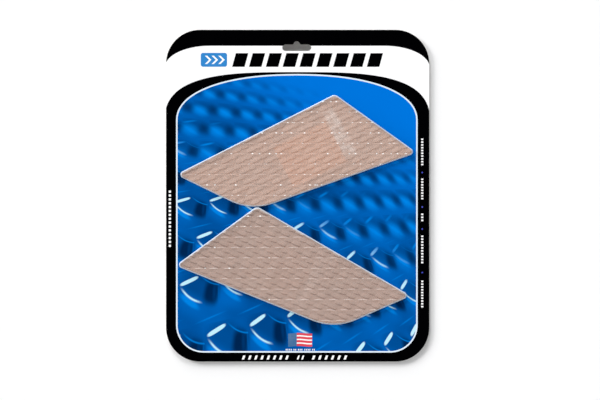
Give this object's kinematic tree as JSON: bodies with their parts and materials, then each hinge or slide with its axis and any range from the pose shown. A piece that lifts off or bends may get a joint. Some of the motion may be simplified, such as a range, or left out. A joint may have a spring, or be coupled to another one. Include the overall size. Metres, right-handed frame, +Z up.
{
  "type": "carded traction pad pair",
  "caption": "Rounded hang card with a hump-topped peg slot, carrying mirrored clear studded stick-on traction pads, each on a brown release liner held by tape.",
  "frame": {"origin": "middle of the card's underside, on the surface that it lies on", "axes": "+Z up out of the card's printed face, +Y along the card's height towards its hang slot, +X to the right seen from above"},
  "size_m": [0.292, 0.368, 0.0041],
  "materials": {
    "white_back_paper": "matte",
    "grey_board": "matte",
    "printed_paper": "satin",
    "foam_tape": "matte",
    "liner_paper": "satin",
    "adhesive": "gloss",
    "clear_skin": "gloss"
  },
  "bodies": {
    "card": {"back_sheet": "white_back_paper", "board_core": "grey_board", "printed_face_sheet": "printed_paper", "upper_tape_square": "foam_tape", "upper_tape_far_tab": "foam_tape", "upper_tape_near_tab": "foam_tape", "lower_tape_square": "foam_tape", "lower_tape_far_tab": "foam_tape", "lower_tape_near_tab": "foam_tape"},
    "upper_liner": {"upper_release_liner": "liner_paper"},
    "upper_pad": {"upper_adhesive_film": "adhesive", "upper_grip_skin": "clear_skin"},
    "lower_liner": {"lower_release_liner": "liner_paper"},
    "lower_pad": {"lower_adhesive_film": "adhesive", "lower_grip_skin": "clear_skin"}
  },
  "joints": [
    {"name": "upper_lift", "type": "slide", "parent": "card", "child": "upper_liner", "axis": [0, 0, 1], "range_m": [0, 0.08]},
    {"name": "lower_lift", "type": "slide", "parent": "card", "child": "lower_liner", "axis": [0, 0, 1], "range_m": [0, 0.08]},
    {"name": "upper_peel", "type": "hinge", "parent": "upper_liner", "child": "upper_pad", "pos_m": [-0.04684, 0.06788, 0.002], "axis": [-0.8918, -0.4524, 0], "range_deg": [0, 110]},
    {"name": "lower_peel", "type": "hinge", "parent": "lower_liner", "child": "lower_pad", "pos_m": [-0.04744, -0.11295, 0.002], "axis": [0.9283, -0.3718, 0], "range_deg": [0, 110]}
  ]
}
